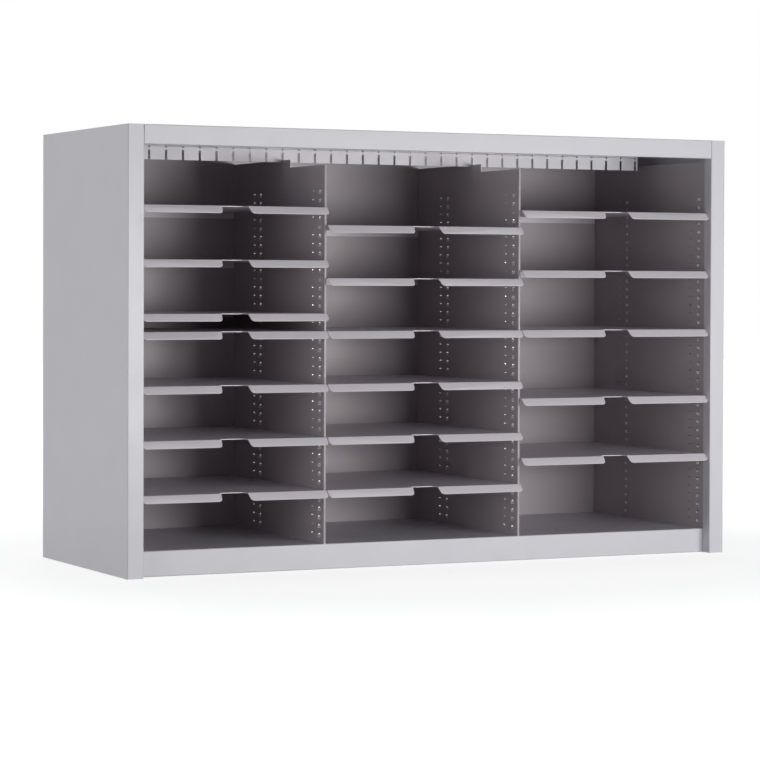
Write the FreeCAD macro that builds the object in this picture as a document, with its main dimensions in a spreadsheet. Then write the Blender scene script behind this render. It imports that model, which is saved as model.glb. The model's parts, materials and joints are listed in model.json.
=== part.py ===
# Pigeonhole mail sorter: a welded sheet-steel shell with an open front, two perforated
# dividers and eighteen pull-out shelves in three columns.
# Millimetres. +Z is up, the open front faces -Y, and the origin is the bottom centre.

import FreeCAD, Part
import math
import os

import Sketcher

doc = FreeCAD.newDocument("mail_sorter")

# ---------------------------------------------------------------- driving dimensions
SIZES = {
    # shell
    "body_width": 960.0,
    "body_depth": 351.0,
    "body_height": 622.0,
    "shell_gauge": 1.0,
    "bend_radius": 1.5,
    "stile_face": 24.0,
    "stile_return": 18.5,
    "header_height": 27.5,
    "header_return": 10.0,
    "rear_flange": 22.0,
    "top_flange": 20.0,
    "deck_height": 36.0,
    "base_return": 15.0,
    "seam_gap": 0.3,
    # perforated liners and dividers
    "liner_inset": 22.4,
    "liner_head_gap": 31.5,
    "panel_setback": 19.0,
    "divider_gauge": 1.0,
    "divider_grip": 3.0,
    "divider_step": 140.0,
    "divider_step_drop": 11.5,
    "divider_rear_gap": 0.5,
    "hem_width": 3.6,
    "hem_depth": 9.0,
    "hem_radius": 1.6,
    "first_divider_slot": 9.0,
    "second_divider_slot": 21.0,
    # shelf supports pressed out of the liners and dividers
    "support_pitch": 12.5,
    "support_head_margin": 25.0,
    "lowest_shelf": 50.0,
    "support_reach": 3.0,
    "support_width": 5.6,
    "support_height": 3.8,
    "support_crown_width": 2.2,
    "support_slot_height": 1.2,
    "support_seat_gap": 0.3,
    "front_support": 36.0,
    "support_stagger": 23.5,
    "rear_support": 104.5,
    # slotted rail that holds the dividers' top edges
    "rail_gauge": 1.2,
    "rail_setback": 170.0,
    "rail_end_inset": 50.5,
    "rail_height": 39.5,
    "rail_flange": 25.0,
    "rail_slot_width": 3.4,
    "rail_slot_depth": 14.2,
    "rail_slot_pitch": 26.07,
    "rail_first_margin": 20.3,
    "rail_last_margin": 3.5,
    "rail_relief_gap": 4.8,
    "rail_relief_radius": 1.4,
    "deck_slot_width": 1.8,
    # tongues under the dividers and their slots in the deck
    "tongue_length": 14.0,
    "tongue_drop": 8.0,
    "tongue_play": 0.7,
    "front_tongue": 90.0,
    "rear_tongue": 51.0,
    # shelves
    "shelf_gauge": 1.0,
    "shelf_rear_gap": 2.5,
    "shelf_side_gap": 0.35,
    "lip_end_gap": 0.8,
    "lip_setback": 2.5,
    "lip_reach": 10.0,
    "lip_angle": 45.0,
    "lip_corner": 5.5,
    "ear_clearance": 1.0,
    "shelf_rear_drop": 10.0,
    "notch_width": 40.3,
    "notch_lip_width": 45.0,
    "notch_depth": 12.0,
    "notch_back_width": 36.0,
    # fasteners
    "rivet_head_radius": 4.0,
    "rivet_head_height": 1.2,
    "rivet_radius": 2.0,
    "rivet_tail_radius": 2.9,
    "rivet_tail_height": 1.6,
    "rivet_hole_radius": 2.1,
    "rivet_edge_margin": 60.0,
    "rivet_side_count": 4.0,
    "rivet_row_count": 4.0,
    "rivet_row_margin": 150.0,
    "stud_radius": 2.5,
    "stud_length": 12.0,
    "stud_count": 4.0,
    "stud_margin": 110.0,
    "stud_hole_radius": 2.8,
    "nut_across_flats": 8.0,
    "nut_height": 4.0,
    "nut_bore_radius": 2.55,
}

# support level of each shelf, out of FULL_LEVELS counted up from the panels' lowest one
FULL_LEVELS = 40
SHELF_LEVELS = {
    "left": [5, 11, 17, 23, 25, 31, 37],
    "middle": [5, 11, 17, 23, 29, 35],
    "right": [8, 15, 23, 30, 37],
}


def make_sheet(sizes):
    sheet = doc.addObject("Spreadsheet::Sheet", "Sizes")
    for row, (alias, value) in enumerate(sizes.items(), start=1):
        sheet.set("A%d" % row, alias)
        sheet.set("B%d" % row, "%g" % value)
        sheet.setAlias("B%d" % row, alias)
    doc.recompute()
    return sheet


class Size:
    """A number and the spreadsheet expression that it comes from; angles are in degrees."""

    def __init__(self, value, text):
        self.value = float(value)
        self.text = text

    def __add__(self, other):
        other = as_size(other)
        return Size(self.value + other.value, "(%s + %s)" % (self.text, other.text))

    def __radd__(self, other):
        return as_size(other) + self

    def __sub__(self, other):
        other = as_size(other)
        return Size(self.value - other.value, "(%s - %s)" % (self.text, other.text))

    def __rsub__(self, other):
        return as_size(other) - self

    def __mul__(self, factor):
        factor = as_size(factor)
        return Size(self.value * factor.value, "(%s * %s)" % (self.text, factor.text))

    def __rmul__(self, factor):
        return as_size(factor) * self

    def __truediv__(self, divisor):
        divisor = as_size(divisor)
        return Size(self.value / divisor.value, "(%s / %s)" % (self.text, divisor.text))

    def __neg__(self):
        return self * -1

    def floor(self):
        return Size(math.floor(self.value), "floor(%s)" % self.text)

    def sin(self):
        return Size(math.sin(math.radians(self.value)), "sin(%s)" % self.text)

    def cos(self):
        return Size(math.cos(math.radians(self.value)), "cos(%s)" % self.text)

    def tan(self):
        return Size(math.tan(math.radians(self.value)), "tan(%s)" % self.text)


def as_size(number):
    if isinstance(number, Size):
        return number
    return Size(number, "(%g)" % number)


sheet = make_sheet(SIZES)


def size(alias):
    return Size(sheet.get(alias), "Sizes." + alias)


# ---------------------------------------------------------------- shared planes
half_width = size("body_width") / 2
gauge = size("shell_gauge")
inner_bend = size("bend_radius") - gauge
front = -(size("body_depth") / 2)
rear = size("body_depth") / 2 - size("rivet_head_height")
back_inner = rear - 2 * gauge
wall_inner = half_width - gauge
stile_inner = half_width - size("stile_face")
deck_top = size("deck_height")
base_front = front + size("stile_return") + size("seam_gap")
panel_front = front + size("panel_setback")
liner_face = half_width - size("liner_inset")
liner_top = size("body_height") - size("liner_head_gap")
rail_top = size("body_height") - gauge
rail_bottom = rail_top - size("rail_height")
divider_rear_top = rail_bottom + size("divider_grip")
divider_front_top = divider_rear_top - size("divider_step_drop")
support_seat = size("lowest_shelf") - size("shelf_gauge") - size("support_seat_gap")
bend_line = front + size("lip_setback") + size("lip_reach")
lip_drop = size("lip_reach") * size("lip_angle").tan()
ear_back = panel_front - size("ear_clearance")

# the panels' courses: each holds one level of supports, and as many fit as the height allows
course_spare = size("support_pitch") - size("support_height") - size("support_slot_height")
course_foot = support_seat - size("support_height") - course_spare / 2
courses_height = divider_front_top - size("support_head_margin") - course_foot
level_count = (courses_height / size("support_pitch")).floor()

# the rail and the deck carry slots along as much of the width as the rail has
rail_half_length = half_width - size("rail_end_inset")
slot_margins = size("rail_first_margin") + size("rail_last_margin")
slotted_length = 2 * rail_half_length - slot_margins
slot_count = (slotted_length / size("rail_slot_pitch")).floor() + 1


def rail_slot(number):
    """Centre of one slot of the rail, counted from the left end."""
    first_slot = size("rail_first_margin") - rail_half_length
    return first_slot + size("rail_slot_pitch") * number


left_divider_x = rail_slot(size("first_divider_slot"))
right_divider_x = rail_slot(size("second_divider_slot"))


# ---------------------------------------------------------------- modelling helpers
EDGE_TOLERANCE = 1e-4
sub_parts = []


def new_body(label):
    body = doc.addObject("PartDesign::Body", label)
    body.Label = label
    sub_parts.append(body)
    return body


def origin_feature(body, role):
    return next(item for item in body.Origin.OriginFeatures if item.Role == role)


def new_sketch(body, plane, offset=0):
    """A sketch on one of the body's origin planes, moved along the plane's normal."""
    sketch = body.newObject("Sketcher::SketchObject", body.Name + "_sketch")
    sketch.AttachmentSupport = (origin_feature(body, plane), [""])
    sketch.MapMode = "FlatFace"
    sketch.setExpression("AttachmentOffset.Base.z", as_size(offset).text)
    return sketch


def pin_point(sketch, edge, position, u, v):
    """Hold one sketch point at bound coordinates, or on the axis where one is zero."""
    for kind, axis, coordinate in (("DistanceX", -2, u), ("DistanceY", -1, v)):
        if not isinstance(coordinate, Size) and coordinate == 0:
            sketch.addConstraint(Sketcher.Constraint("PointOnObject", edge, position, axis))
            continue
        coordinate = as_size(coordinate)
        number = sketch.addConstraint(
            Sketcher.Constraint(kind, -1, 1, edge, position, coordinate.value))
        sketch.setExpression("Constraints[%d]" % number, coordinate.text)


def add_loop(sketch, points):
    """A closed polygon with every corner bound to the sheet."""
    corners = [FreeCAD.Vector(as_size(u).value, as_size(v).value, 0) for u, v in points]
    first = sketch.GeometryCount
    count = len(corners)
    for index, corner in enumerate(corners):
        sketch.addGeometry(Part.LineSegment(corner, corners[(index + 1) % count]))
    for index in range(count):
        following = first + (index + 1) % count
        sketch.addConstraint(
            Sketcher.Constraint("Coincident", first + index, 2, following, 1))
    for index, (u, v) in enumerate(points):
        pin_point(sketch, first + index, 1, u, v)


def add_circle(sketch, u, v, radius):
    centre = FreeCAD.Vector(as_size(u).value, as_size(v).value, 0)
    edge = sketch.addGeometry(
        Part.Circle(centre, FreeCAD.Vector(0, 0, 1), radius.value))
    pin_point(sketch, edge, 3, u, v)
    number = sketch.addConstraint(Sketcher.Constraint("Radius", edge, radius.value))
    sketch.setExpression("Constraints[%d]" % number, radius.text)


def rectangle(low_u, high_u, low_v, high_v):
    return [(low_u, low_v), (high_u, low_v), (high_u, high_v), (low_u, high_v)]


def new_feature(body, kind, sketch, length, midplane=False, refine=False):
    """A pad or a pocket of one sketch.

    Unless refined, seams between flush faces stay, so that no single face of a
    perforated sheet carries every slot.
    """
    feature = body.newObject("PartDesign::" + kind, body.Name + "_" + kind.lower())
    feature.Profile = sketch
    feature.setExpression("Length", as_size(length).text)
    feature.Midplane = midplane
    feature.Refine = refine
    body.Tip = feature
    return feature


def pad(body, plane, loops, length, offset=0, midplane=False, refine=False):
    sketch = new_sketch(body, plane, offset)
    for points in loops:
        add_loop(sketch, points)
    return new_feature(body, "Pad", sketch, length, midplane, refine)


def pocket(body, plane, loops, length, offset=0, midplane=False):
    sketch = new_sketch(body, plane, offset)
    for points in loops:
        add_loop(sketch, points)
    return new_feature(body, "Pocket", sketch, length, midplane)


def round_edges(body, edge_test, radius):
    """Fillet every edge of the body's latest feature that passes the test."""
    doc.recompute()
    base = body.Tip
    names = ["Edge%d" % number for number, edge in enumerate(base.Shape.Edges, start=1)
             if edge_test(edge)]
    fillet = body.newObject("PartDesign::Fillet", body.Name + "_round")
    fillet.Base = (base, names)
    fillet.setExpression("Radius", radius.text)
    fillet.Refine = False
    body.Tip = fillet


def round_bends(body, run, corners, radius):
    """Fillet the straight edges that run along one axis through the given corners.

    run is 0, 1 or 2 for X, Y or Z; a corner gives the other two coordinates in order.
    """
    across = [axis for axis in range(3) if axis != run]
    wanted = [tuple(as_size(place).value for place in corner) for corner in corners]

    def is_bend(edge):
        ends = [tuple(vertex.Point) for vertex in edge.Vertexes]
        if len(ends) != 2 or abs(ends[0][run] - ends[1][run]) < EDGE_TOLERANCE:
            return False
        return any(all(abs(end[axis] - place) < EDGE_TOLERANCE
                       for end in ends for axis, place in zip(across, corner))
                   for corner in wanted)

    round_edges(body, is_bend, radius)


def repeat(body, features, axis, pitch, count):
    """Copies of some features in a row along one of the body's origin axes."""
    pattern = body.newObject("PartDesign::LinearPattern", body.Name + "_pattern")
    pattern.Originals = features
    pattern.Refine = False
    pattern.Direction = (origin_feature(body, axis), [""])
    pattern.setExpression("Length", (pitch * (count - 1)).text)
    pattern.setExpression("Occurrences", count.text)
    body.Tip = pattern


def drill(body, plane, centres, radius, depth, offset):
    """Round holes through one sheet, cut both ways from the sheet's middle plane."""
    sketch = new_sketch(body, plane, offset)
    for u, v in centres:
        add_circle(sketch, u, v, radius)
    new_feature(body, "Pocket", sketch, depth, midplane=True)


def spread(low, high, count):
    """Evenly spaced places from low to high, both ends included."""
    steps = int(round(count.value))
    return [low + (high - low) * (index / (steps - 1)) for index in range(steps)]


# ---------------------------------------------------------------- places of fixings
flange_middle = (wall_inner + half_width - size("rear_flange")) / 2
top_row_z = size("body_height") - gauge - size("top_flange") / 2
bottom_row_z = deck_top / 2
row_reach = half_width - size("rivet_row_margin")
side_rivet_z = spread(size("rivet_edge_margin"),
                      size("body_height") - size("rivet_edge_margin"),
                      size("rivet_side_count"))
row_rivet_x = spread(-row_reach, row_reach, size("rivet_row_count"))
stud_reach = half_width - size("stud_margin")
stud_x = spread(-stud_reach, stud_reach, size("stud_count"))
stud_y = front + size("rail_setback") + size("rail_gauge") + size("rail_flange") / 2
front_tongue_y = front + size("front_tongue")
rear_tongue_y = -front - size("rear_tongue")


# ---------------------------------------------------------------- shell
def make_side_panel(label, side):
    """Plain side with a flat front stile, its return and a rear flange."""
    body = new_body(label)
    stile_back = front + gauge
    return_end = front + size("stile_return")
    return_back = stile_inner + gauge
    flange_end = half_width - size("rear_flange")
    section = [
        (side * half_width, front),
        (side * stile_inner, front),
        (side * stile_inner, return_end),
        (side * return_back, return_end),
        (side * return_back, stile_back),
        (side * wall_inner, stile_back),
        (side * wall_inner, rear - gauge),
        (side * flange_end, rear - gauge),
        (side * flange_end, rear),
        (side * half_width, rear),
    ]
    pad(body, "XY_Plane", [section], size("body_height"))
    round_bends(body, 2, [(side * half_width, front), (side * stile_inner, front),
                          (side * half_width, rear)], size("bend_radius"))
    round_bends(body, 2, [(side * return_back, stile_back), (side * wall_inner, stile_back),
                          (side * wall_inner, rear - gauge)], inner_bend)
    # the top sheet lies in this notch of the return
    top_notch = rectangle(side * (stile_inner - gauge), side * wall_inner,
                          stile_back, return_end + gauge)
    pocket(body, "XY_Plane", [top_notch], gauge, size("body_height"))
    places = [(side * flange_middle, z) for z in side_rivet_z]
    drill(body, "XZ_Plane", places, size("rivet_hole_radius"), 2 * gauge,
          -(rear - gauge / 2))


def make_top_panel():
    """Top sheet with the front header, its return, and flanges at the sides and rear."""
    body = new_body("top_panel")
    top = size("body_height")
    header_end = stile_inner - size("seam_gap")
    header_foot = top - size("header_height")
    header_back = front + gauge
    return_end = front + size("header_return")
    flange_front = front + size("panel_setback")
    section = [
        (front, top),
        (front, header_foot),
        (return_end, header_foot),
        (return_end, header_foot + gauge),
        (header_back, header_foot + gauge),
        (header_back, top - gauge),
        (back_inner, top - gauge),
        (back_inner, top),
    ]
    pad(body, "YZ_Plane", [section], 2 * header_end, midplane=True)
    round_bends(body, 0, [(front, top), (front, header_foot)], size("bend_radius"))
    round_bends(body, 0, [(header_back, header_foot + gauge), (header_back, top - gauge)],
                inner_bend)
    sides = [rectangle(side * header_end, side * wall_inner,
                       front + size("bend_radius"), back_inner) for side in (-1, 1)]
    pad(body, "XY_Plane", sides, gauge, top - gauge)
    flanges = [
        (-wall_inner, flange_front),
        (-(wall_inner - gauge), flange_front),
        (-(wall_inner - gauge), back_inner - gauge),
        (wall_inner - gauge, back_inner - gauge),
        (wall_inner - gauge, flange_front),
        (wall_inner, flange_front),
        (wall_inner, back_inner),
        (-wall_inner, back_inner),
    ]
    pad(body, "XY_Plane", [flanges], size("top_flange"), top - gauge - size("top_flange"))
    drill(body, "XZ_Plane", [(x, top_row_z) for x in row_rivet_x],
          size("rivet_hole_radius"), 2 * gauge, -(back_inner - gauge / 2))


def make_bottom_panel():
    """Deck on a folded skirt; the front skirt is the set-back base rail."""
    body = new_body("bottom_panel")
    skirt_outside = rectangle(-wall_inner, wall_inner, base_front, back_inner)
    skirt_inside = rectangle(-(wall_inner - gauge), wall_inner - gauge,
                             base_front + gauge, back_inner - gauge)
    pad(body, "XY_Plane", [skirt_outside, skirt_inside], deck_top - gauge, refine=True)
    pad(body, "XY_Plane", [skirt_outside], gauge, deck_top - gauge, refine=True)
    front_return = rectangle(-wall_inner, wall_inner,
                             base_front, base_front + size("base_return"))
    rear_return = rectangle(-wall_inner, wall_inner,
                            back_inner - size("base_return"), back_inner)
    pad(body, "XY_Plane", [front_return, rear_return], gauge, refine=True)
    round_bends(body, 0, [(base_front, deck_top), (base_front, as_size(0)),
                          (back_inner, deck_top), (back_inner, as_size(0))],
                size("bend_radius"))
    slots = []
    half_slot = size("deck_slot_width") / 2
    half_length = size("tongue_length") / 2 + size("tongue_play")
    for place in (front_tongue_y, rear_tongue_y):
        slots.append(rectangle(rail_slot(0) - half_slot, rail_slot(0) + half_slot,
                               place - half_length, place + half_length))
    first_slots = pocket(body, "XY_Plane", slots, gauge, deck_top)
    repeat(body, [first_slots], "X_Axis", size("rail_slot_pitch"), slot_count)
    drill(body, "XZ_Plane", [(x, bottom_row_z) for x in row_rivet_x],
          size("rivet_hole_radius"), 2 * gauge, -(back_inner - gauge / 2))


def make_back_panel():
    """Flat sheet over the rear flanges' inner faces, riveted on from behind."""
    body = new_body("back_panel")
    sheet_edge = wall_inner - inner_bend
    sheet_outline = rectangle(-sheet_edge, sheet_edge, back_inner, back_inner + gauge)
    pad(body, "XY_Plane", [sheet_outline], size("body_height"))
    places = [(side * flange_middle, z) for side in (-1, 1) for z in side_rivet_z]
    places += [(x, z) for x in row_rivet_x for z in (bottom_row_z, top_row_z)]
    drill(body, "XZ_Plane", places, size("rivet_hole_radius"), 2 * gauge,
          -(back_inner + gauge / 2))


# ---------------------------------------------------------------- perforated panels
def make_support(body, direction, face, y):
    """A lanced dimple on one face of the sheet, leaning to -X or +X under a flat seat."""
    half_foot = size("support_width") / 2
    half_crown = size("support_crown_width") / 2
    crown = face + direction * size("support_reach")
    footprint = [(face, y - half_foot), (crown, y - half_crown),
                 (crown, y + half_crown), (face, y + half_foot)]
    return pad(body, "XY_Plane", [footprint], size("support_height"),
               support_seat - size("support_height"))


def add_courses(body, plate_gauge, middle, low_y, high_y):
    """The perforated part of a panel: one course of supports, repeated upwards.

    Each support is a dimple pressed out under the slot that it was cut from, and its
    flat top is the seat. The front column of each pair leans to -X and the
    next one to +X. middle is the place of the sheet's middle plane along X, in the
    body's own axes.
    """
    half = size("support_width") / 2
    slot_top = support_seat + size("support_slot_height")
    places = []
    for place in (front + size("front_support"), -front - size("rear_support")):
        places.append((-1, place))
        places.append((1, place + size("support_stagger")))
    band = rectangle(low_y, high_y, course_foot, course_foot + size("support_pitch"))
    slots = [rectangle(y - half, y + half, support_seat, slot_top) for _, y in places]
    course = [pad(body, "YZ_Plane", [band] + slots, plate_gauge, middle, midplane=True)]
    for direction, y in places:
        course.append(make_support(body, direction, middle + direction * plate_gauge / 2, y))
    repeat(body, course, "Z_Axis", size("support_pitch"), level_count)
    return course_foot + size("support_pitch") * level_count


def make_liner(label, side):
    """Perforated inner wall, standing off the side panel on its own flanges."""
    body = new_body(label)
    low_y = panel_front + gauge
    high_y = back_inner - gauge
    middle = side * (liner_face + gauge / 2)
    foot_plate = rectangle(low_y, high_y, deck_top, course_foot)
    pad(body, "YZ_Plane", [foot_plate], gauge, middle, midplane=True)
    front_flange = rectangle(side * liner_face, side * wall_inner, panel_front, low_y)
    rear_flange = rectangle(side * liner_face, side * wall_inner, high_y, back_inner)
    pad(body, "XY_Plane", [front_flange, rear_flange], liner_top - deck_top, deck_top)
    courses_top = add_courses(body, gauge, middle, low_y, high_y)
    head_plate = rectangle(low_y, high_y, courses_top, liner_top)
    pad(body, "YZ_Plane", [head_plate], gauge, middle, midplane=True)
    drill(body, "XZ_Plane", [(side * flange_middle, z) for z in side_rivet_z],
          size("rivet_hole_radius"), 2 * gauge, -(back_inner - gauge / 2))


def make_divider(label, place):
    """Perforated upright with a hemmed front edge and tongues for the deck's slots."""
    body = new_body(label)
    plate_gauge = size("divider_gauge")
    low_y = panel_front + size("hem_depth")
    high_y = back_inner - size("divider_rear_gap")
    step_y = front + size("divider_step")
    hem = rectangle(panel_front, low_y, deck_top, divider_front_top)
    pad(body, "YZ_Plane", [hem], size("hem_width"), midplane=True)
    half_hem = size("hem_width") / 2
    round_bends(body, 2, [(-half_hem, panel_front), (half_hem, panel_front)],
                size("hem_radius"))
    foot_plate = [(low_y, deck_top)]
    for tongue in (front_tongue_y, rear_tongue_y):
        near = tongue - size("tongue_length") / 2
        far = tongue + size("tongue_length") / 2
        foot_plate += [(near, deck_top), (near, deck_top - size("tongue_drop")),
                       (far, deck_top - size("tongue_drop")), (far, deck_top)]
    foot_plate += [(high_y, deck_top), (high_y, course_foot), (low_y, course_foot)]
    pad(body, "YZ_Plane", [foot_plate], plate_gauge, midplane=True)
    courses_top = add_courses(body, plate_gauge, as_size(0), low_y, high_y)
    head_plate = [
        (low_y, courses_top),
        (high_y, courses_top),
        (high_y, divider_rear_top),
        (step_y, divider_rear_top),
        (step_y, divider_front_top),
        (low_y, divider_front_top),
    ]
    pad(body, "YZ_Plane", [head_plate], plate_gauge, midplane=True)
    body.setExpression("Placement.Base.x", place.text)


def make_divider_rail():
    """Angle under the top sheet; its slots hold the dividers' top edges."""
    body = new_body("divider_rail")
    leg_front = front + size("rail_setback")
    leg_back = leg_front + size("rail_gauge")
    section = [
        (leg_front, rail_bottom),
        (leg_back, rail_bottom),
        (leg_back, rail_top - size("rail_gauge")),
        (leg_back + size("rail_flange"), rail_top - size("rail_gauge")),
        (leg_back + size("rail_flange"), rail_top),
        (leg_front, rail_top),
    ]
    pad(body, "YZ_Plane", [section], 2 * rail_half_length, midplane=True)
    round_bends(body, 0, [(leg_front, rail_top)], size("bend_radius"))
    leg_middle = (leg_front + leg_back) / 2
    half_slot = size("rail_slot_width") / 2
    slot_top = rail_bottom + size("rail_slot_depth")
    sketch = new_sketch(body, "XZ_Plane", -leg_middle)
    add_loop(sketch, rectangle(rail_slot(0) - half_slot, rail_slot(0) + half_slot,
                               rail_bottom, slot_top))
    add_circle(sketch, rail_slot(0), slot_top + size("rail_relief_gap"),
               size("rail_relief_radius"))
    slot = new_feature(body, "Pocket", sketch, 2 * size("rail_gauge"), midplane=True)
    repeat(body, [slot], "X_Axis", size("rail_slot_pitch"), slot_count)
    drill(body, "XY_Plane", [(x, stud_y) for x in stud_x], size("stud_hole_radius"),
          2 * size("rail_gauge"), rail_top - size("rail_gauge") / 2)


# ---------------------------------------------------------------- shelves
def column_edges():
    """Left and right edge of the shelf plate and of its lip, for each column."""
    hem_clear = size("hem_width") / 2 + size("shelf_side_gap")
    stile_clear = stile_inner - size("shelf_side_gap")
    lip_clear = size("lip_end_gap")
    return {
        "left": (-stile_clear, left_divider_x - hem_clear,
                 -stile_clear, left_divider_x - lip_clear),
        "middle": (left_divider_x + hem_clear, right_divider_x - hem_clear,
                   left_divider_x + lip_clear, right_divider_x - lip_clear),
        "right": (right_divider_x + hem_clear, stile_clear,
                  right_divider_x + lip_clear, stile_clear),
    }


# an edge that runs through the sheet is shorter than this many times its gauge
THROUGH_EDGE_GAUGES = 1.5


def is_lip_corner(edge):
    """True for the short edges through the sheet along the lip's lower end."""
    lip_middle = bend_line.value - size("lip_reach").value / 2
    through_limit = THROUGH_EDGE_GAUGES * size("shelf_gauge").value
    box = edge.BoundBox
    return box.DiagonalLength < through_limit and box.YMax < lip_middle


def make_shelf(label, edges, level):
    """Plate with a slanting front lip, a thumb notch and a turned-down rear edge."""
    plate_left, plate_right, lip_left, lip_right = edges
    body = new_body(label)
    plate = size("shelf_gauge")
    bend_inset = plate * (size("lip_angle") / 2).tan()
    lip_toe = bend_line - size("lip_reach")
    toe_inset = plate * size("lip_angle").sin()
    toe_depth = lip_drop + plate * size("lip_angle").cos()
    shelf_back = back_inner - size("shelf_rear_gap")
    lip_section = [
        (bend_line, 0),
        (ear_back, 0),
        (ear_back, -plate),
        (bend_line + bend_inset, -plate),
        (lip_toe + toe_inset, -toe_depth),
        (lip_toe, -lip_drop),
    ]
    pad(body, "YZ_Plane", [lip_section], lip_right - lip_left, lip_left)
    round_bends(body, 0, [(bend_line, as_size(0))], size("bend_radius"))
    round_bends(body, 0, [(bend_line + bend_inset, -plate)], size("bend_radius") - plate)
    plate_section = [
        (ear_back - plate, 0),
        (shelf_back, 0),
        (shelf_back, -size("shelf_rear_drop")),
        (shelf_back - plate, -size("shelf_rear_drop")),
        (shelf_back - plate, -plate),
        (ear_back - plate, -plate),
    ]
    pad(body, "YZ_Plane", [plate_section], plate_right - plate_left, plate_left)
    round_bends(body, 0, [(shelf_back, as_size(0))], size("bend_radius"))
    middle = (plate_left + plate_right) / 2
    toe_half = size("notch_lip_width") / 2
    bend_half = size("notch_width") / 2
    back_half = size("notch_back_width") / 2
    notch_back = bend_line + size("notch_depth")
    notch = [
        (middle - toe_half, lip_toe - plate),
        (middle + toe_half, lip_toe - plate),
        (middle + bend_half, bend_line),
        (middle + back_half, notch_back),
        (middle - back_half, notch_back),
        (middle - bend_half, bend_line),
    ]
    # the cut runs as far above the plate as below it, well past the lip's toe
    pocket(body, "XY_Plane", [notch], 4 * toe_depth, midplane=True)
    round_edges(body, is_lip_corner, size("lip_corner"))
    nearest_level = (level_count * level / FULL_LEVELS + 0.5).floor()
    height = size("lowest_shelf") + size("support_pitch") * nearest_level
    body.setExpression("Placement.Base.z", height.text)


# ---------------------------------------------------------------- fasteners
def new_group(label, solids):
    """Identical fasteners kept together as separate solids."""
    group = doc.addObject("Part::Feature", label)
    group.Label = label
    group.Shape = Part.makeCompound(solids)
    sub_parts.append(group)


def make_rivet(x, z, head_plane, grip):
    """Domeless rivet along Y: flat head outside, upset tail inside."""
    inward = FreeCAD.Vector(0, -1, 0)
    foot = FreeCAD.Vector(x.value, head_plane.value, z.value)
    head = Part.makeCylinder(size("rivet_head_radius").value,
                             size("rivet_head_height").value, foot, -inward)
    shank = Part.makeCylinder(size("rivet_radius").value, grip.value, foot, inward)
    tail = Part.makeCylinder(size("rivet_tail_radius").value,
                             size("rivet_tail_height").value,
                             foot + inward * grip.value, inward)
    return head.fuse([shank, tail]).removeSplitter()


def make_back_rivets():
    rivets = []
    for side in (-1, 1):
        for z in side_rivet_z:
            # rear flange of the side panel, back panel and rear flange of the liner
            rivets.append(make_rivet(side * flange_middle, z, rear, 3 * gauge))
    for x in row_rivet_x:
        for z in (bottom_row_z, top_row_z):
            rivets.append(make_rivet(x, z, rear - gauge, 2 * gauge))
    new_group("back_rivets", rivets)


def make_rail_fixings():
    """Studs welded under the top sheet, and the nuts that carry the rail."""
    down = FreeCAD.Vector(0, 0, -1)
    flange_under = rail_top - size("rail_gauge")
    corner_radius = size("nut_across_flats").value / math.sqrt(3)
    studs = []
    nuts = []
    for x in stud_x:
        root = FreeCAD.Vector(x.value, stud_y.value, rail_top.value)
        studs.append(Part.makeCylinder(size("stud_radius").value,
                                       size("stud_length").value, root, down))
        seat = FreeCAD.Vector(x.value, stud_y.value, flange_under.value)
        hexagon = [seat + FreeCAD.Vector(corner_radius * math.cos(math.radians(60 * k)),
                                         corner_radius * math.sin(math.radians(60 * k)), 0)
                   for k in range(7)]
        blank = Part.Face(Part.makePolygon(hexagon)).extrude(
            down * size("nut_height").value)
        bore = Part.makeCylinder(size("nut_bore_radius").value,
                                 size("nut_height").value, seat, down)
        nuts.append(blank.cut(bore))
    new_group("rail_studs", studs)
    new_group("rail_nuts", nuts)


# ---------------------------------------------------------------- assembly
make_side_panel("left_side_panel", -1)
make_side_panel("right_side_panel", 1)
make_top_panel()
make_bottom_panel()
make_back_panel()
make_liner("left_liner", -1)
make_liner("right_liner", 1)
make_divider("left_divider", left_divider_x)
make_divider("right_divider", right_divider_x)
make_divider_rail()
for column, edges in column_edges().items():
    for number, level in enumerate(SHELF_LEVELS[column], start=1):
        make_shelf("shelf_%s_%d" % (column, number), edges, level)
make_back_rivets()
make_rail_fixings()
doc.recompute()

for item in doc.Objects:
    if "Invalid" in item.State or "Error" in item.State:
        raise RuntimeError("%s failed: %s" % (item.Label, item.State))
for item in sub_parts:
    if item.Shape.isNull() or not item.Shape.isValid():
        raise RuntimeError("%s has no valid shape" % item.Label)

os.makedirs("parts", exist_ok=True)
for item in sub_parts:
    item.Shape.exportStep("parts/%s.step" % item.Label)
    print("%-18s solids %2d  volume %12.1f mm3" % (
        item.Label, len(item.Shape.Solids), item.Shape.Volume))
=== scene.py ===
"""Pigeonhole mail sorter: powder-coated finishes, stage, lamps and camera around the frame."""
import json
import math

import bpy
from mathutils import Matrix, Vector


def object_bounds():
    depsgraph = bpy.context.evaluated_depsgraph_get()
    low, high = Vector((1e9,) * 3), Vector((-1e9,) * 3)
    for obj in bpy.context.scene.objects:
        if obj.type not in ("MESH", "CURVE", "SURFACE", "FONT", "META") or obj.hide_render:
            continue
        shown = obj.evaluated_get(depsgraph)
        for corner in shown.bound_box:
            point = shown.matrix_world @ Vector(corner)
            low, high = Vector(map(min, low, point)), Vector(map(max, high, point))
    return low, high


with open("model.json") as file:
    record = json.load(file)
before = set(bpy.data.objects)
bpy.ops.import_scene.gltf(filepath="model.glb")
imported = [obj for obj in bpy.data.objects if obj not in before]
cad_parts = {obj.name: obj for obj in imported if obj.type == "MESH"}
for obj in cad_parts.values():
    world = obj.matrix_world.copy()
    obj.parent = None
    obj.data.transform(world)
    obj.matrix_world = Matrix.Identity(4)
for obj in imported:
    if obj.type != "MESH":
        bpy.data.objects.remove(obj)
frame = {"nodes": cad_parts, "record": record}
cad_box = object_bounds()
nodes = frame["nodes"]

MM = 0.001

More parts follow.
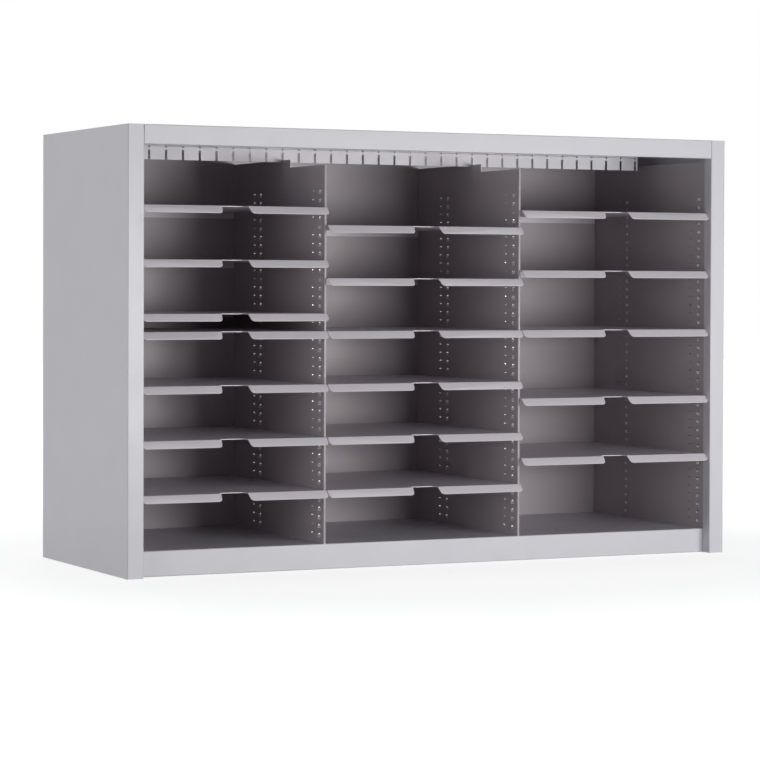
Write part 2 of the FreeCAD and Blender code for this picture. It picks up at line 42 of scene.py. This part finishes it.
# ------------------------------------------------------------------ sheet-metal edges
WELD_GAP = 0.002 * MM
CUT_EDGE_RADIUS = 0.22 * MM
FASTENER_EDGE_RADIUS = 0.18 * MM
EDGE_ANGLE = math.radians(28)

# ------------------------------------------------------------------ finishes
SHELL_GREY = (0.645, 0.635, 0.680)
# inside the frame the shell's own paint is made darker and warmer: painted shade, not a
# different paint
INNER_GREY_PAINTED_SHADE = (0.470, 0.418, 0.444)
SHELF_GREY = (0.790, 0.745, 0.790)
RAIL_GREY = (0.640, 0.628, 0.660)
ZINC_GREY = (0.560, 0.570, 0.580)
ZINC_EDGE = (0.720, 0.720, 0.730)
# painted highlight: bright steel laid on the inside edges and support domes, strongest at the
# front
HIGHLIGHT_STEEL = (0.780, 0.745, 0.750)
DUST_GREY = (0.620, 0.600, 0.570)
PAINT_IOR = 1.5
# a thin clear film over the pigment, and the orange peel that it hardened with
COAT_WEIGHT = 0.18
COAT_ROUGHNESS = 0.22
PEEL_STRENGTH = 0.05
PEEL_DEPTH = 0.15 * MM
TURNING_STRENGTH = 0.12
TURNING_DEPTH = 0.08 * MM
# rubbed edges are lighter and smoother than the paint around them; inside the frame the
# lighter edges are a painted highlight
POLISH_AND_HIGHLIGHT_LIFT = 0.02
POLISH_SMOOTHING = 0.12
# slide marks are darker and smoother than the paint, and drawn out along Y
MARK_SHADE = 0.86
MARK_SMOOTHING = 0.14
MARK_STRETCH = 0.012
# from the rear supports, where the painted highlight of bright steel is faint, to the front
# ones, where it is strongest
HIGHLIGHT_DEPTHS = (0.0, cad_box[0][1] * 0.6)
LEAST_HIGHLIGHT = 0.06


# ================================================================== node helpers
def group_tree(name, inputs, outputs):
    """An empty shader group with its sockets; inputs are (name, kind, default)."""
    tree = bpy.data.node_groups.new(name, "ShaderNodeTree")
    for label, kind, default in inputs:
        socket = tree.interface.new_socket(label, in_out="INPUT", socket_type=kind)
        socket.default_value = default
    for label, kind in outputs:
        tree.interface.new_socket(label, in_out="OUTPUT", socket_type=kind)
    entry = tree.nodes.new("NodeGroupInput")
    leave = tree.nodes.new("NodeGroupOutput")
    return tree, entry, leave


def add_node(tree, kind, **settings):
    node = tree.nodes.new(kind)
    for name, value in settings.items():
        setattr(node, name, value)
    return node


def feed(tree, target, source):
    """Link a socket, or set a plain value on it."""
    if isinstance(source, bpy.types.NodeSocket):
        tree.links.new(source, target)
    else:
        target.default_value = source


def maths(tree, operation, *values, clamp=False):
    node = add_node(tree, "ShaderNodeMath", operation=operation, use_clamp=clamp)
    for socket, value in zip(node.inputs, values):
        feed(tree, socket, value)
    return node.outputs[0]


def noise(tree, vector, scale, detail=2.0, roughness=0.5):
    node = add_node(tree, "ShaderNodeTexNoise")
    feed(tree, node.inputs["Vector"], vector)
    feed(tree, node.inputs["Scale"], scale)
    node.inputs["Detail"].default_value = detail
    node.inputs["Roughness"].default_value = roughness
    return node.outputs["Fac"]


def remap(tree, value, low, high, new_low=0.0, new_high=1.0):
    node = add_node(tree, "ShaderNodeMapRange", clamp=True)
    for socket, number in zip(node.inputs, (value, low, high, new_low, new_high)):
        feed(tree, socket, number)
    return node.outputs[0]


def blend_colour(tree, factor, low, high):
    node = add_node(tree, "ShaderNodeMix", data_type="RGBA")
    feed(tree, node.inputs["Factor"], factor)
    feed(tree, node.inputs["A"], low)
    feed(tree, node.inputs["B"], high)
    return node.outputs["Result"]


def opaque(colour):
    return (*colour, 1.0)


# ================================================================== shared effects
def make_coat_grain():
    """Powder coat: faint cloudiness in colour, uneven gloss and a fine orange peel."""
    tree, entry, leave = group_tree(
        "coat_grain",
        [("Paint", "NodeSocketColor", opaque(SHELL_GREY)),
         ("Cloudiness", "NodeSocketFloat", 0.03),
         ("Gloss low", "NodeSocketFloat", 0.38),
         ("Gloss high", "NodeSocketFloat", 0.48),
         ("Peel scale", "NodeSocketFloat", 900.0)],
        [("Colour", "NodeSocketColor"),
         ("Roughness", "NodeSocketFloat"),
         ("Height", "NodeSocketFloat")])
    place = add_node(tree, "ShaderNodeTexCoord").outputs["Object"]
    cloud = noise(tree, place, 7.0, detail=4.0)
    speck = noise(tree, place, 420.0, detail=1.0)
    mixed = maths(tree, "MULTIPLY_ADD", speck, 0.35, maths(tree, "MULTIPLY", cloud, 0.65))
    swing = maths(tree, "MULTIPLY", maths(tree, "SUBTRACT", mixed, 0.5),
                  entry.outputs["Cloudiness"])
    tint = add_node(tree, "ShaderNodeHueSaturation")
    feed(tree, tint.inputs["Color"], entry.outputs["Paint"])
    feed(tree, tint.inputs["Value"], maths(tree, "ADD", swing, 1.0))
    feed(tree, leave.inputs["Colour"], tint.outputs["Color"])
    gloss = remap(tree, noise(tree, place, 24.0, detail=5.0, roughness=0.6), 0.3, 0.7,
                  entry.outputs["Gloss low"], entry.outputs["Gloss high"])
    feed(tree, leave.inputs["Roughness"], gloss)
    peel = noise(tree, place, entry.outputs["Peel scale"], detail=2.0)
    feed(tree, leave.inputs["Height"], peel)
    return tree


def make_dust_film():
    """Dust and paper fluff that settle on upward faces, thicker where nobody wipes."""
    tree, entry, leave = group_tree(
        "dust_film",
        [("Colour", "NodeSocketColor", opaque(SHELL_GREY)),
         ("Roughness", "NodeSocketFloat", 0.4),
         ("Amount", "NodeSocketFloat", 0.3)],
        [("Colour", "NodeSocketColor"),
         ("Roughness", "NodeSocketFloat")])
    geometry = add_node(tree, "ShaderNodeNewGeometry")
    split = add_node(tree, "ShaderNodeSeparateXYZ")
    feed(tree, split.inputs[0], geometry.outputs["Normal"])
    upward = remap(tree, split.outputs["Z"], 0.75, 0.98)
    place = add_node(tree, "ShaderNodeTexCoord").outputs["Object"]
    patches = remap(tree, noise(tree, place, 18.0, detail=6.0, roughness=0.65), 0.42, 0.68)
    motes = remap(tree, noise(tree, place, 1500.0, detail=1.0), 0.66, 0.74)
    cover = maths(tree, "MAXIMUM", maths(tree, "MULTIPLY", patches, 0.35), motes)
    mask = maths(tree, "MULTIPLY", maths(tree, "MULTIPLY", cover, upward),
                 entry.outputs["Amount"], clamp=True)
    feed(tree, leave.inputs["Colour"],
         blend_colour(tree, mask, entry.outputs["Colour"], opaque(DUST_GREY)))
    feed(tree, leave.inputs["Roughness"],
         maths(tree, "MULTIPLY_ADD", mask, 0.4, entry.outputs["Roughness"], clamp=True))
    return tree


def make_edge_rub_and_highlight():
    """Paint burnished and thinned along the sheet's edges, broken up by noise; inside the
    frame its lightening is a painted highlight.
    """
    tree, entry, leave = group_tree(
        "edge_rub_and_highlight",
        [("Reach", "NodeSocketFloat", 0.8 * MM),
         ("Strength", "NodeSocketFloat", 0.5)],
        [("Mask", "NodeSocketFloat")])
    rounded = add_node(tree, "ShaderNodeBevel", samples=4)
    feed(tree, rounded.inputs["Radius"], entry.outputs["Reach"])
    flat = add_node(tree, "ShaderNodeNewGeometry").outputs["Normal"]
    likeness = add_node(tree, "ShaderNodeVectorMath", operation="DOT_PRODUCT")
    feed(tree, likeness.inputs[0], rounded.outputs["Normal"])
    feed(tree, likeness.inputs[1], flat)
    edge = remap(tree, likeness.outputs["Value"], 0.99, 0.82)
    place = add_node(tree, "ShaderNodeTexCoord").outputs["Object"]
    broken = remap(tree, noise(tree, place, 65.0, detail=5.0, roughness=0.7), 0.44, 0.62)
    mask = maths(tree, "MULTIPLY", maths(tree, "MULTIPLY", edge, broken),
                 entry.outputs["Strength"], clamp=True)
    feed(tree, leave.inputs["Mask"], mask)
    return tree


def make_slide_marks():
    """Hair-fine rubbed lines that mail and shelves leave when drawn out to the front."""
    tree, entry, leave = group_tree(
        "slide_marks",
        [("Density", "NodeSocketFloat", 0.5)],
        [("Mask", "NodeSocketFloat")])
    place = add_node(tree, "ShaderNodeTexCoord").outputs["Object"]
    stretch = add_node(tree, "ShaderNodeMapping")
    stretch.inputs["Scale"].default_value = (1.0, MARK_STRETCH, 1.0)
    feed(tree, stretch.inputs["Vector"], place)
    lines = remap(tree, noise(tree, stretch.outputs[0], 520.0, detail=3.0), 0.60, 0.72)
    breaks = remap(tree, noise(tree, place, 9.0, detail=3.0), 0.45, 0.65)
    mask = maths(tree, "MULTIPLY", maths(tree, "MULTIPLY", lines, breaks),
                 entry.outputs["Density"], clamp=True)
    feed(tree, leave.inputs["Mask"], mask)
    return tree


COAT_GRAIN = make_coat_grain()
DUST_FILM = make_dust_film()
EDGE_RUB_AND_HIGHLIGHT = make_edge_rub_and_highlight()
SLIDE_MARKS = make_slide_marks()


# ================================================================== materials
def new_material(name):
    material = bpy.data.materials.new(name)
    material.use_nodes = True
    tree = material.node_tree
    return material, tree, tree.nodes["Principled BSDF"]


def place_group(tree, group, **values):
    node = add_node(tree, "ShaderNodeGroup", node_tree=group)
    for name, value in values.items():
        feed(tree, node.inputs[name.replace("_", " ")], value)
    return node


def add_bump(tree, shader, height, strength, distance):
    bump = add_node(tree, "ShaderNodeBump")
    bump.inputs["Strength"].default_value = strength
    bump.inputs["Distance"].default_value = distance
    feed(tree, bump.inputs["Height"], height)
    feed(tree, shader.inputs["Normal"], bump.outputs["Normal"])


def powder_coat(name, paint, gloss=(0.36, 0.46), cloudiness=0.035, dust=0.25, rub_and_highlight=0.35,
                rub_and_highlight_reach=0.8, rub_and_highlight_lift=1.12, bare_highlight=0.0, marks=0.0):
    """Satin light-grey powder coat on sheet steel.

    dust, edge rubbing and slide marks are strengths, and the edge reach is in millimetres.
    With a bright-steel share above zero, the edges are painted bright steel, more towards the
    front: a painted highlight on the support domes.
    """
    material, tree, shader = new_material(name)
    grain = place_group(tree, COAT_GRAIN, Paint=opaque(paint), Cloudiness=cloudiness,
                        Gloss_low=gloss[0], Gloss_high=gloss[1])
    edge = place_group(tree, EDGE_RUB_AND_HIGHLIGHT, Reach=rub_and_highlight_reach * MM, Strength=rub_and_highlight)
    # edges made lighter: rubbed paint, and inside the frame a painted highlight
    polished_and_highlit = tuple(min(1.0, channel * rub_and_highlight_lift + POLISH_AND_HIGHLIGHT_LIFT) for channel in paint)
    colour = blend_colour(tree, edge.outputs["Mask"], grain.outputs["Colour"],
                          opaque(polished_and_highlit))
    roughness = maths(tree, "MULTIPLY_ADD", edge.outputs["Mask"], -POLISH_SMOOTHING,
                      grain.outputs["Roughness"], clamp=True)
    if marks:
        lines = place_group(tree, SLIDE_MARKS, Density=marks).outputs["Mask"]
        shaded = [channel * MARK_SHADE for channel in paint]
        colour = blend_colour(tree, lines, colour, opaque(shaded))
        roughness = maths(tree, "MULTIPLY_ADD", lines, -MARK_SMOOTHING, roughness,
                          clamp=True)
    # bright steel on the edges, strongest towards the front: a painted highlight on the
    # support domes
    if bare_highlight:
        place = add_node(tree, "ShaderNodeTexCoord").outputs["Object"]
        split = add_node(tree, "ShaderNodeSeparateXYZ")
        feed(tree, split.inputs[0], place)
        nearness = remap(tree, split.outputs["Y"], *HIGHLIGHT_DEPTHS, LEAST_HIGHLIGHT, bare_highlight)
        painted_highlight = maths(tree, "MULTIPLY", edge.outputs["Mask"], nearness, clamp=True)
        colour = blend_colour(tree, painted_highlight, colour, opaque(HIGHLIGHT_STEEL))
        feed(tree, shader.inputs["Metallic"], painted_highlight)
    film = place_group(tree, DUST_FILM, Colour=colour, Roughness=roughness, Amount=dust)
    feed(tree, shader.inputs["Base Color"], film.outputs["Colour"])
    feed(tree, shader.inputs["Roughness"], film.outputs["Roughness"])
    add_bump(tree, shader, grain.outputs["Height"], PEEL_STRENGTH, PEEL_DEPTH)
    shader.inputs["IOR"].default_value = PAINT_IOR
    shader.inputs["Coat Weight"].default_value = COAT_WEIGHT
    shader.inputs["Coat Roughness"].default_value = COAT_ROUGHNESS
    return material


def plated_zinc(name):
    """Bright zinc plating with faint cloudy passivation and turned lines."""
    material, tree, shader = new_material(name)
    grain = place_group(tree, COAT_GRAIN, Paint=opaque(ZINC_GREY), Cloudiness=0.22,
                        Gloss_low=0.24, Gloss_high=0.42, Peel_scale=2600.0)
    edge = place_group(tree, EDGE_RUB_AND_HIGHLIGHT, Reach=0.4 * MM, Strength=0.6)
    feed(tree, shader.inputs["Base Color"],
         blend_colour(tree, edge.outputs["Mask"], grain.outputs["Colour"],
                      opaque(ZINC_EDGE)))
    feed(tree, shader.inputs["Roughness"], grain.outputs["Roughness"])
    shader.inputs["Metallic"].default_value = 1.0
    add_bump(tree, shader, grain.outputs["Height"], TURNING_STRENGTH, TURNING_DEPTH)
    return material


FINISHES = {
    "shell_paint": powder_coat("shell_powder_coat", SHELL_GREY, dust=0.30),
    # inside, the darker paint is painted shade, and the strong light edges with bright steel
    # towards the front are a painted highlight on the support domes
    "inner_paint": powder_coat("inner_coat_painted_shade_and_highlight", INNER_GREY_PAINTED_SHADE, gloss=(0.40, 0.52),
                               dust=0.20, rub_and_highlight=1.6, rub_and_highlight_reach=1.2, rub_and_highlight_lift=1.5,
                               bare_highlight=0.9),
    "rail_paint": powder_coat("rail_powder_coat", RAIL_GREY, rub_and_highlight=0.5),
    "shelf_paint": powder_coat("shelf_powder_coat", SHELF_GREY, dust=0.35, rub_and_highlight=0.55,
                               marks=0.55),
    "rivet_paint": powder_coat("rivet_powder_coat", SHELL_GREY, cloudiness=0.06, rub_and_highlight=0.8),
    "zinc": plated_zinc("zinc_plating"),
}


def dress_nodes():
    """Finish and softened sheet edges for every node, by the record's slots."""
    for part in frame["record"]["subparts"]:
        node = nodes[part["node"]]
        node.data.materials.clear()
        node.data.materials.append(FINISHES[part["material_slot"]])
        weld = node.modifiers.new("weld", "WELD")
        weld.merge_threshold = WELD_GAP
        bevel = node.modifiers.new("sheet_edges", "BEVEL")
        fastener = part["material_slot"] in ("rivet_paint", "zinc")
        bevel.width = FASTENER_EDGE_RADIUS if fastener else CUT_EDGE_RADIUS
        bevel.segments = 2
        bevel.limit_method = "ANGLE"
        bevel.angle_limit = EDGE_ANGLE
        bevel.harden_normals = True


dress_nodes()

# ================================================================== stage
FLOOR_HALF = 9.0
FLOOR_WHITE = (0.40, 0.40, 0.40)
FLOOR_ROUGHNESS = 0.9
FLOOR_SPECULAR = 0.1
SHADOW_REACH = (0.60, 1.3)
NEAR_FLOOR_GLOW = 0.78
FLOOR_BOUNCE = 0.20
AMBIENT = 0.04
AMBIENT_TINT = (0.60, 0.88, 1.00)
# the base encloses this share of the object's width and of its depth
BASE_SHARE = (0.99, 0.88)


def seen_rays(tree):
    """One for rays from the camera and from mirror-like reflections, zero for the rest."""
    path = add_node(tree, "ShaderNodeLightPath")
    return maths(tree, "MAXIMUM", path.outputs["Is Camera Ray"],
                 maths(tree, "MAXIMUM", path.outputs["Is Glossy Ray"],
                       path.outputs["Is Transmission Ray"]))


def within(tree, value, reach):
    """One where a coordinate is less than reach from zero, zero beyond."""
    return maths(tree, "LESS_THAN", maths(tree, "ABSOLUTE", value), reach)


def make_floor():
    """Pale floor that keeps the shadow near the object and fades to white around it.

    It gives no glow inside the object's base, where it is seen through the deck's slots.
    """
    mesh = bpy.data.meshes.new("floor")
    corners = [(-FLOOR_HALF, -FLOOR_HALF, 0), (FLOOR_HALF, -FLOOR_HALF, 0),
               (FLOOR_HALF, FLOOR_HALF, 0), (-FLOOR_HALF, FLOOR_HALF, 0)]
    mesh.from_pydata(corners, [], [(0, 1, 2, 3)])
    floor = bpy.data.objects.new("floor", mesh)
    bpy.context.scene.collection.objects.link(floor)
    material, tree, shader = new_material("pale_floor")
    shader.inputs["Base Color"].default_value = opaque(FLOOR_WHITE)
    shader.inputs["Roughness"].default_value = FLOOR_ROUGHNESS
    shader.inputs["Specular IOR Level"].default_value = FLOOR_SPECULAR
    place = add_node(tree, "ShaderNodeTexCoord").outputs["Object"]
    distance = add_node(tree, "ShaderNodeVectorMath", operation="LENGTH")
    feed(tree, distance.inputs[0], place)
    white = add_node(tree, "ShaderNodeEmission")
    split = add_node(tree, "ShaderNodeSeparateXYZ")
    feed(tree, split.inputs[0], place)
    half_width, half_depth = cad_box[1][0], cad_box[1][1]
    under_base = maths(tree, "MULTIPLY",
                       within(tree, split.outputs["X"], half_width * BASE_SHARE[0]),
                       within(tree, split.outputs["Y"], half_depth * BASE_SHARE[1]))
    glow = maths(tree, "MULTIPLY", maths(tree, "SUBTRACT", 1.0, under_base),
                 remap(tree, distance.outputs["Value"], *SHADOW_REACH,
                       NEAR_FLOOR_GLOW, 1.0))
    lift = maths(tree, "MULTIPLY", glow,
                 remap(tree, seen_rays(tree), 0.0, 1.0, FLOOR_BOUNCE, 1.0))
    feed(tree, white.inputs["Strength"], lift)
    total = add_node(tree, "ShaderNodeAddShader")
    feed(tree, total.inputs[0], shader.outputs[0])
    feed(tree, total.inputs[1], white.outputs[0])
    feed(tree, tree.nodes["Material Output"].inputs["Surface"], total.outputs[0])
    mesh.materials.append(material)


def make_world():
    """White surroundings to the eye and a low, even light on the object."""
    world = bpy.data.worlds.new("studio")
    world.use_nodes = True
    bpy.context.scene.world = world
    tree = world.node_tree
    background = tree.nodes["Background"]
    seen = seen_rays(tree)
    feed(tree, background.inputs["Color"],
         blend_colour(tree, seen, opaque(AMBIENT_TINT), (1.0, 1.0, 1.0, 1.0)))
    strength = remap(tree, seen, 0.0, 1.0, AMBIENT, 1.0)
    feed(tree, background.inputs["Strength"], strength)


def aim(item, place, target):
    """Stand an object at a place with its -Z axis towards a target."""
    item.location = place
    direction = Vector(target) - Vector(place)
    item.rotation_euler = direction.to_track_quat("-Z", "Y").to_euler()


def soft_lamp(name, place, target, width, height, watts):
    lamp = bpy.data.lights.new(name, "AREA")
    lamp.shape = "RECTANGLE"
    lamp.size = width
    lamp.size_y = height
    lamp.energy = watts
    item = bpy.data.objects.new(name, lamp)
    bpy.context.scene.collection.objects.link(item)
    aim(item, place, target)


def make_lamps():
    """White softboxes in front, at the left, above and behind; sizes in metres."""
    middle = (0.0, -0.15, 0.28)
    soft_lamp("key_softbox", (0.92, -2.6, 0.28), middle, 1.45, 0.46, 39.0)
    soft_lamp("fill_softbox", (-2.70, -1.20, 0.40), middle, 1.3, 0.7, 12.0)
    soft_lamp("side_softbox", (-3.0, 0.75, 0.9), (-0.48, 0.0, 0.3), 1.8, 1.6, 13.5)
    soft_lamp("top_softbox", (0.1, 0.1, 2.9), middle, 1.6, 1.2, 14.0)
    soft_lamp("rear_softbox", (0.9, 3.3, 0.9), middle, 1.6, 1.2, 21.0)


# ================================================================== camera
CAMERA_PLACE = (-1857.1 * MM, -3787.9 * MM, 407.3 * MM)
CAMERA_YAW = math.radians(25.9665)
CAMERA_PITCH = math.radians(-1.05495)
CAMERA_ROLL = math.radians(0.18413)
LENS_MM = 133.95
SENSOR_MM = 36.0
FRAME_SHIFT_Y = -0.0605
FARTHEST_SEEN = 60.0


def make_camera():
    """Seen from the left of the front, almost level, with a long lens."""
    ahead = Vector((math.sin(CAMERA_YAW), math.cos(CAMERA_YAW), 0))
    right = Vector((math.cos(CAMERA_YAW), -math.sin(CAMERA_YAW), 0))
    up = Vector((0, 0, 1))
    sight = ahead * math.cos(CAMERA_PITCH) + up * math.sin(CAMERA_PITCH)
    tall = up * math.cos(CAMERA_PITCH) - ahead * math.sin(CAMERA_PITCH)
    across = right * math.cos(CAMERA_ROLL) + tall * math.sin(CAMERA_ROLL)
    upright = tall * math.cos(CAMERA_ROLL) - right * math.sin(CAMERA_ROLL)
    lens = bpy.data.cameras.new("camera")
    lens.lens = LENS_MM
    lens.sensor_width = SENSOR_MM
    lens.shift_y = FRAME_SHIFT_Y
    lens.clip_end = FARTHEST_SEEN
    camera = bpy.data.objects.new("camera", lens)
    bpy.context.scene.collection.objects.link(camera)
    turn = Matrix((across, upright, -sight)).transposed()
    camera.matrix_world = Matrix.LocRotScale(Vector(CAMERA_PLACE), turn, None)
    bpy.context.scene.camera = camera


make_floor()
make_world()
make_lamps()
make_camera()
bpy.context.scene.view_settings.view_transform = "Standard"
